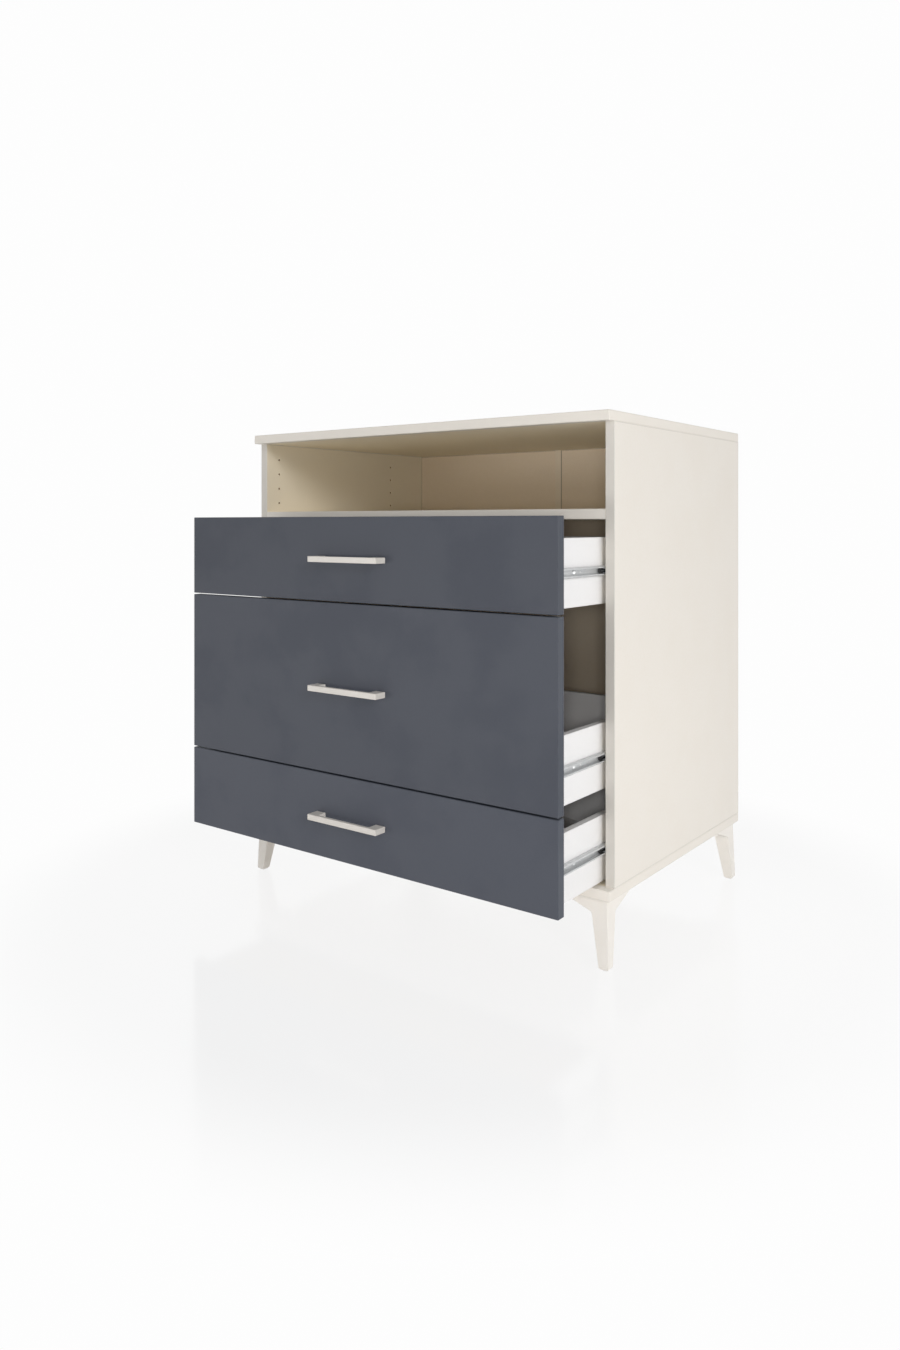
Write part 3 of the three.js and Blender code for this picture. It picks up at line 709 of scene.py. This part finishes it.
slab_screws = []
for panel in ("left_side_panel", "right_side_panel"):
    low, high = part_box(panel)
    for share in SLAB_SCREW_SHARES:
        spot = Vector(((low.x + high.x) / 2, low.y + share * (high.y - low.y), slab_under))
        slab_screws.append((spot, (0, 0, -1)))
driven("slab_screws", slab_screws, SLAB_SCREW, "carcass")


# Runner rails: roll-formed zinc-plated steel channels. The wider one is screwed to the
# drawer box and curls round the balls; the narrower one is screwed to the carcass.
LEVELS = ("upper", "middle", "lower")
HANDS = {"left": -1, "right": 1}
ZINC = (0.665, 0.675, 0.68, 1)
ZINC_SHADE = (0.555, 0.565, 0.57, 1)
RAIL_GLOSS = (0.38, 0.50)
RAIL_RELIEF = 0.00002
RAIL_METAL = 0.6                # how metallic, under the dull bloom of the plating
DRAWER_SCREW_SETBACKS = (0.074, 0.298)
CABINET_SCREW_SETBACKS = (0.035, 0.259)
RAIL_SHEET = 0.001
DRAWER_HEAD = {"Radius": 0.0042, "Height": 0.0015, "Recess": 0.0042}
CABINET_HEAD = {"Radius": 0.0036, "Height": 0.0020, "Recess": 0.0042}

rail_zinc = zinc_finish("rail_zinc", (ZINC, ZINC_SHADE), RAIL_GLOSS, RAIL_RELIEF, RAIL_METAL)


def rail_screws(rail, web, setbacks, facing):
    """The spots of a rail's screws: on its web, at each setback, at the middle of its height."""
    low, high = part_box(rail)
    return [(Vector((web, low.y + setback, (low.z + high.z) / 2)), (facing, 0, 0))
            for setback in setbacks]


for level in LEVELS:
    drawer_heads, cabinet_heads = [], []
    for word, hand in HANDS.items():
        drawer_rail, cabinet_rail = f"{level}_drawer_rail_{word}", f"{level}_cabinet_rail_{word}"
        finish_node(drawer_rail, rail_zinc)
        finish_node(cabinet_rail, rail_zinc)
        web = hand * (min(abs(corner.x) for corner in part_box(drawer_rail)) + RAIL_SHEET)
        drawer_heads += rail_screws(drawer_rail, web, DRAWER_SCREW_SETBACKS, hand)
        web = hand * (max(abs(corner.x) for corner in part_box(cabinet_rail)) - RAIL_SHEET)
        cabinet_heads += rail_screws(cabinet_rail, web, CABINET_SCREW_SETBACKS, -hand)
    driven(f"{level}_drawer_rail_screws", drawer_heads, DRAWER_HEAD, f"{level}_drawer")
    driven(f"{level}_cabinet_rail_screws", cabinet_heads, CABINET_HEAD, "carcass")


# Ball cages: stamped strips of black plastic that keep the balls apart and roll along at
# half the drawer's speed. Windows lighten the web and the nose is drawn in and rounded.
CAGE_WALL = 0.0009
CAGE_EASE = 0.0001
CAGE_NOSE = 0.006
CAGE_NOSE_HALF = 0.0025
NOSE_CUT = 0.0012
CAGE_POCKET = 0.0021
WINDOW = (0.013, 0.0022)        # half its length and half its height
NOSE_WINDOW = (0.006, 0.0016)
NOSE_WINDOW_SHIFT = 0.002
FLANGE_PAST_BALL = 0.0012
FLANGE_SLANT = 0.003
COLLAR_HALF, COLLAR_EASE = 0.0007, 0.0002
COLLAR_SIDES = 16
BALL_RADIUS = 0.0015
BALL_SETBACK = 0.030
BALL_PITCH = 0.040
BALLS_IN_ROW = 4
BALL_ACROSS = 0.00595
BALL_UP = 0.00585
BALL_SUBDIVISIONS = 3
BLACK = (0.018, 0.018, 0.019, 1)
BLACK_SHADE = (0.030, 0.030, 0.031, 1)
BLACK_GLOSS = (0.34, 0.46)
BLACK_RELIEF = 0.00002
BLACK_DRAW = (1, 0.1, 1)
BALL_STEEL = (0.74, 0.74, 0.75, 1)
BALL_STEEL_SHADE = (0.66, 0.66, 0.67, 1)
BALL_GLOSS = (0.10, 0.18)
BALL_RELIEF = 0.000002

cage_plastic = plastic_finish("cage_plastic", (BLACK, BLACK_SHADE), BLACK_GLOSS, BLACK_RELIEF,
                              BLACK_DRAW)
ball_steel = zinc_finish("ball_steel", (BALL_STEEL, BALL_STEEL_SHADE), BALL_GLOSS, BALL_RELIEF)


def stadium(middle_u, middle_v, half_length, half_height, steps=6):
    """The outline of a slot with round ends."""
    reach = half_length - half_height
    turn = [math.pi * (n / steps - 0.5) for n in range(steps + 1)]
    return [(middle_u + end * (reach + half_height * math.cos(a)),
             middle_v + end * half_height * math.sin(a)) for end in (1, -1) for a in turn]


def plate(name, outlines, place):
    """A flat wall of the cage with holes and eased arrises; place turns (u, v, w) into x, y, z."""
    curve = bpy.data.curves.new(name, "CURVE")
    curve.dimensions = "2D"
    curve.fill_mode = "BOTH"
    curve.extrude = CAGE_WALL / 2 - CAGE_EASE
    curve.bevel_depth = CAGE_EASE
    curve.bevel_resolution = 1
    curve.offset = -CAGE_EASE
    for outline in outlines:
        spline = curve.splines.new("POLY")
        spline.points.add(len(outline) - 1)
        spline.use_cyclic_u = True
        for point, (u, v) in zip(spline.points, outline):
            point.co = (u, v, 0, 1)
    holder = bpy.data.objects.new(name + "_outline", curve)
    bpy.context.scene.collection.objects.link(holder)
    depsgraph = bpy.context.evaluated_depsgraph_get()
    mesh = bpy.data.meshes.new_from_object(holder.evaluated_get(depsgraph))
    bpy.data.objects.remove(holder)
    bm = bmesh.new()
    bm.from_mesh(mesh)
    for vert in bm.verts:
        vert.co = place(*vert.co)
    return finished(bm, name)


def joined(meshes, name):
    """Several meshes as one."""
    bm = bmesh.new()
    for mesh in meshes:
        bm.from_mesh(mesh)
    made = bpy.data.meshes.new(name)
    bm.to_mesh(made)
    bm.free()
    return made


def ball_tree():
    """A small steel ball on every point."""
    tree, given = shape_tree("ball rows", ("Radius",))
    ball = add(tree, "GeometryNodeMeshIcoSphere",
               {"Radius": given["Radius"], "Subdivisions": BALL_SUBDIVISIONS})
    set_on_points(tree, given, {"Instance": ball.outputs[0]})
    return tree


balls = ball_tree()
collar_profile = [(0, -COLLAR_HALF), (CAGE_POCKET - COLLAR_EASE, -COLLAR_HALF),
                  (CAGE_POCKET, COLLAR_EASE - COLLAR_HALF),
                  (CAGE_POCKET, COLLAR_HALF - COLLAR_EASE),
                  (CAGE_POCKET - COLLAR_EASE, COLLAR_HALF), (0, COLLAR_HALF)]
for level in LEVELS:
    for word, hand in HANDS.items():
        node = f"{level}_ball_cage_{word}"
        low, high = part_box(node)
        front, rear, middle = low.y, high.y, (low.z + high.z) / 2
        side = min(abs(low.x), abs(high.x))
        box_face = min(abs(corner.x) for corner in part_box(f"{level}_drawer_rail_{word}"))
        full, tip = BALL_UP + CAGE_WALL / 2, CAGE_NOSE_HALF
        outline = [(front + NOSE_CUT, middle - tip), (front + CAGE_NOSE, middle - full),
                   (rear - CAGE_NOSE, middle - full), (rear - NOSE_CUT, middle - tip),
                   (rear, middle - tip + NOSE_CUT), (rear, middle + tip - NOSE_CUT),
                   (rear - NOSE_CUT, middle + tip), (rear - CAGE_NOSE, middle + full),
                   (front + CAGE_NOSE, middle + full), (front + NOSE_CUT, middle + tip),
                   (front, middle + tip - NOSE_CUT), (front, middle - tip + NOSE_CUT)]
        windows = [stadium(front + BALL_SETBACK + (n + 0.5) * BALL_PITCH, middle, *WINDOW)
                   for n in range(BALLS_IN_ROW)]
        windows.append(stadium(front + 0.5 * BALL_SETBACK + NOSE_WINDOW_SHIFT, middle,
                               *NOSE_WINDOW))
        web = hand * (side + CAGE_WALL / 2)
        parts = [plate(node + "_web", [outline] + windows,
                       lambda u, v, w: Vector((web + w, u, v)))]
        outer = box_face + BALL_ACROSS + FLANGE_PAST_BALL
        flange = [(hand * side, front + CAGE_NOSE),
                  (hand * outer, front + CAGE_NOSE + FLANGE_SLANT),
                  (hand * outer, rear - CAGE_NOSE - FLANGE_SLANT),
                  (hand * side, rear - CAGE_NOSE)]
        spots = []
        for row in (-1, 1):
            height = middle + row * BALL_UP
            parts.append(plate(node + "_flange", [flange],
                               lambda u, v, w: Vector((u, v, height + w))))
            for n in range(BALLS_IN_ROW):
                spot = Vector((hand * (box_face + BALL_ACROSS),
                               front + BALL_SETBACK + n * BALL_PITCH, height))
                spots.append((spot, (0, 0, 1)))
                collar = bmesh.new()
                turned(collar, collar_profile, Matrix.Translation(spot), COLLAR_SIDES)
                parts.append(finished(collar, node + "_collar"))
        cage = mesh_piece(node + "_strip", joined(parts, node + "_strip"), cage_plastic, node)
        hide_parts(node)
        grown(node + "_balls", spots, balls, {"Radius": BALL_RADIUS, "Material": ball_steel},
              node)


# Drawer fronts: 18 mm particleboard in a matt slate melamine, banded on all four edges.
# A groove across the back takes the drawer's bottom. The lower fronts are painted lighter and the
# upper darker, painted light that makes them lighter towards the floor.
SLATE = (0.060, 0.0665, 0.085, 1)
SLATE_SHADE = (0.058, 0.064, 0.0825, 1)
SLATE_BAND = (0.058, 0.066, 0.084, 1)
# Painted light: each front's colour is scaled by its level, lighter towards the floor.
LEVEL_PAINTED_LIGHT = {"upper": 0.92, "middle": 0.97, "lower": 1.09}
MATT = (0.52, 0.62)

for level in LEVELS:
    board = f"{level}_drawer_front"
    slates = [toned(tone, LEVEL_PAINTED_LIGHT[level]) for tone in (SLATE, SLATE_SHADE, SLATE_BAND)]
    finish_node(board, board_finish("slate_" + board, board, slates, MATT))


# Bar handles: die-cast in one piece with their two broad posts and powder-coated in cream.
# Two machine screws with washers hold each one from inside the front.
COAT = (0.740, 0.700, 0.649, 1)
COAT_SHADE = (0.725, 0.685, 0.630, 1)
COAT_GLOSS = (0.30, 0.38)
COAT_PEEL, COAT_CLOUDS = 700.0, 60.0
PEEL_WAVES = (2.0, 0.45)
COAT_SPAN = (0.3, 0.7)
COAT_RELIEF = 0.00006
HANDLE_SCREW_INSET = 0.0105
HANDLE_HEAD = {"Radius": 0.0040, "Height": 0.0022, "Recess": 0.0046}
WASHER_RADIUS = 0.0065
WASHER_DEPTH = 0.0010
WASHER_EASE = 0.0002
WASHER_SIDES = 28

# Powder coat: the orange peel of paint that ran together in the oven.
powder_coat, given, out = group(
    "powder coat", [("Place", "Vector", (0, 0, 0)), ("Peel", "Float", COAT_PEEL)],
    [("Tone", "Float"), ("Height", "Float")])
link_all(powder_coat, {
    "Tone": step(powder_coat, noise(powder_coat, given["Place"], COAT_CLOUDS), *NOISE_SPAN),
    "Height": noise(powder_coat, given["Place"], given["Peel"], *PEEL_WAVES)}, out)

handle_coat, tree, shader = start_material("handle_coat")
coated = placed(tree, powder_coat, {"Place": own_place(tree)})
link_all(tree, {"Base Color": tint(tree, coated["Tone"], COAT, COAT_SHADE),
                "Roughness": step(tree, coated["Height"], *COAT_SPAN, *COAT_GLOSS)}, shader.inputs)
relief(tree, shader, coated["Height"], COAT_RELIEF)

washer_profile = [(0, 0), (WASHER_RADIUS, 0), (WASHER_RADIUS, WASHER_DEPTH - WASHER_EASE),
                  (WASHER_RADIUS - WASHER_EASE, WASHER_DEPTH), (0, WASHER_DEPTH)]
for level in LEVELS:
    handle = f"{level}_drawer_handle"
    finish_node(handle, handle_coat)
    low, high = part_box(handle)
    front_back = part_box(f"{level}_drawer_front")[1].y
    heads, washers = [], bmesh.new()
    for hand in HANDS.values():
        spot = Vector((hand * (high.x - HANDLE_SCREW_INSET), front_back, (low.z + high.z) / 2))
        inwards = Matrix.Translation(spot) @ Matrix.Rotation(math.radians(-90), 4, "X")
        turned(washers, washer_profile, inwards, WASHER_SIDES)
        heads.append((spot + Vector((0, WASHER_DEPTH, 0)), (0, 1, 0)))
    mesh_piece(f"{level}_handle_washers", finished(washers, f"{level}_handle_washers"),
               screw_zinc, f"{level}_drawer")
    driven(f"{level}_handle_screws", heads, HANDLE_HEAD, f"{level}_drawer")


# Drawer boxes: 12 mm particleboard in white melamine with a bottom of white-faced 3 mm
# hardboard in grooves. Cam discs clamp the sides to the front, screws hold the back.
WHITE = (0.885, 0.875, 0.87, 1)
WHITE_SHADE = (0.875, 0.865, 0.858, 1)
WHITE_BAND = (0.865, 0.855, 0.85, 1)
WHITE_GLOSS = (0.42, 0.5)
BOTTOM_GLOSS = (0.48, 0.86)
BOTTOM_FILM = 6.0
CAM = {"Radius": 0.0060, "Height": 0.0006, "Recess": 0.0062}
CAM_SETBACK = 0.024
JOINT_RISES = (0.028, 0.088)
SIDE_SCREW = {"Radius": 0.0034, "Height": 0.0003, "Recess": 0.0040}


def bottom_finish(name, node):
    """White on top of a drawer's bottom, and bare fibres under it and on its edges."""
    made, tree, shader = start_material(name)
    place = own_place(tree)
    x, y, z = axes(tree, place)
    bare = calc(tree, "LESS_THAN", z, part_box(node)[1].z - LACQUER_DEPTH)
    skin, face = sheet_skin(tree, place, BOTTOM_FILM, (WHITE, WHITE_SHADE))
    laid_flat = add(tree, "ShaderNodeCombineXYZ", {0: x, 1: z, 2: y}).outputs[0]
    dress_sheet(tree, shader, skin, face, bare, laid_flat, BOTTOM_GLOSS)
    return made


for level in LEVELS:
    for part in ("side_left", "side_right", "back"):
        board = f"{level}_drawer_{part}"
        finish_node(board, board_finish("white_" + board, board,
                                        (WHITE, WHITE_SHADE, WHITE_BAND), WHITE_GLOSS))
    board = f"{level}_drawer_bottom"
    finish_node(board, bottom_finish("sheet_" + board, board))
    cams, side_heads = [], []
    back_low, back_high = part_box(f"{level}_drawer_back")
    for word, hand in HANDS.items():
        low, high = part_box(f"{level}_drawer_side_{word}")
        inner = hand * min(abs(low.x), abs(high.x))
        outer = hand * max(abs(low.x), abs(high.x))
        for rise in JOINT_RISES:
            cams.append((Vector((inner, low.y + CAM_SETBACK, low.z + rise)), (-hand, 0, 0)))
            spot = Vector((outer, (back_low.y + back_high.y) / 2, low.z + rise))
            side_heads.append((spot, (hand, 0, 0)))
    driven(f"{level}_drawer_cams", cams, CAM, f"{level}_drawer")
    driven(f"{level}_drawer_back_screws", side_heads, SIDE_SCREW, f"{level}_drawer")


# The studio: a pale floor that fades into a white room, a soft key lamp from the front right
# and one from behind, weaker ones from overhead, the front and the right, and a small one at
# the photographer's camera.
FLOOR = (0.94, 0.94, 0.945, 1)
FLOOR_RINGS = (0.6, 1.2, 2.4, 5.0, 14.0)
FLOOR_SIDES = 64
FLOOR_DROP = 0.0004
FLOOR_IOR = 1.45
FLOOR_MIRROR = 0.35             # Metallic
FLOOR_CLOUDS, FLOOR_SPAN, FLOOR_GLOSS = 2.0, (0.3, 0.7), (0.10, 0.16)
FLOOR_SHARE = 0.16              # how much of the floor's own shading shows near the chest
FADE_FROM, FADE_TO = 0.75, 1.08
ROOM = (0.985, 0.985, 0.985, 1)
ROOM_LIGHT = 0.275
LAMPS = {   # the way to it from LAMP_AIM, distance, width and height, watts
    "overhead_lamp": ((0.36, 0.03, 0.93), 8.0, (5.1, 5.1), 38.0),
    "key_lamp": ((0.80, -0.50, 0.33), 7.0, (2.0, 2.0), 155.0),
    "front_lamp": ((-0.40, -0.90, -0.12), 4.5, (3.0, 0.4), 24.5),
    "back_lamp": ((-0.60, 0.80, 0.05), 7.0, (1.6, 0.9), 155.0),
    "side_lamp": ((0.949, 0.03, -0.316), 1.74, (0.7, 0.32), 1.95),
    "fill_lamp": ((0.585, -0.811, 0.004), 2.15, (0.16, 0.16), 6.4),
}
LAMP_AIM = Vector((0, 0, 0.75))
CAMERA_PLACE = (1.2383, -1.7173, 0.7580)
CAMERA_TURN = 36.79             # degrees
CAMERA_LENS, CAMERA_SENSOR = 26.965, 36.0   # millimetres
CAMERA_SHIFT = -0.1124


def for_the_eye(tree):
    """1 for a ray that shows a surface to the camera, straight or in gloss or glass."""
    path = tree.nodes.new("ShaderNodeLightPath").outputs
    return calc_all(tree, "MAXIMUM", path["Is Camera Ray"], path["Is Glossy Ray"],
                    path["Is Transmission Ray"])


floor_bm = bmesh.new()
turned(floor_bm, [(radius, -FLOOR_DROP) for radius in (0, *FLOOR_RINGS)], Matrix.Identity(4),
       FLOOR_SIDES)
floor = bpy.data.objects.new("studio_floor", finished(floor_bm, "studio_floor"))
for face in floor.data.polygons:
    if face.normal.z < 0:
        face.flip()
bpy.context.scene.collection.objects.link(floor)
floor_paint, tree, shader = start_material("floor_paint")
shader.inputs["Base Color"].default_value = FLOOR
shader.inputs["Metallic"].default_value = FLOOR_MIRROR
shader.inputs["IOR"].default_value = FLOOR_IOR
dull = step(tree, noise(tree, own_place(tree), FLOOR_CLOUDS), *FLOOR_SPAN, *FLOOR_GLOSS)
tree.links.new(dull, shader.inputs["Roughness"])
glow = add(tree, "ShaderNodeEmission", {"Color": ROOM, "Strength": 1.0})
reach = add(tree, "ShaderNodeVectorMath", {0: own_place(tree)}, operation="LENGTH")
whitening = step(tree, reach.outputs["Value"], FADE_FROM, FADE_TO, 1.0 - FLOOR_SHARE, 1.0)
mixed = add(tree, "ShaderNodeMixShader", {
    0: calc(tree, "MULTIPLY", for_the_eye(tree), whitening), 1: shader.outputs[0],
    2: glow.outputs[0]})
surface = next(n for n in tree.nodes if n.type == "OUTPUT_MATERIAL")
tree.links.new(mixed.outputs[0], surface.inputs["Surface"])
floor.data.materials.append(floor_paint)
floor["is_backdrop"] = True

room = bpy.data.worlds.new("white_room")
bpy.context.scene.world = room
room.use_nodes = True
tree = room.node_tree
tree.nodes.clear()
soft = add(tree, "ShaderNodeBackground", {"Color": (1, 1, 1, 1), "Strength": ROOM_LIGHT})
white = add(tree, "ShaderNodeBackground", {"Color": ROOM, "Strength": 1.0})
mixed = add(tree, "ShaderNodeMixShader", {0: for_the_eye(tree), 1: soft.outputs[0],
                                          2: white.outputs[0]})
tree.links.new(mixed.outputs[0], add(tree, "ShaderNodeOutputWorld").inputs["Surface"])

for name, (way, distance, size, watts) in LAMPS.items():
    lamp = bpy.data.lights.new(name, "AREA")
    lamp.shape = "RECTANGLE"
    lamp.size, lamp.size_y = size
    lamp.energy = watts
    holder = bpy.data.objects.new(name, lamp)
    bpy.context.scene.collection.objects.link(holder)
    way = Vector(way).normalized()
    holder.location = LAMP_AIM + way * distance
    holder.rotation_euler = way.to_track_quat("Z", "Y").to_euler()
    holder.visible_camera = False

view = bpy.data.cameras.new("photo_camera")
view.lens = CAMERA_LENS
view.sensor_width = CAMERA_SENSOR
view.sensor_fit = "AUTO"
view.shift_y = CAMERA_SHIFT
camera = bpy.data.objects.new("photo_camera", view)
bpy.context.scene.collection.objects.link(camera)
camera.location = CAMERA_PLACE
camera.rotation_euler = Euler((math.radians(90), 0, math.radians(CAMERA_TURN)))
bpy.context.scene.camera = camera
bpy.context.scene.view_settings.view_transform = "Standard"

low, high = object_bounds()
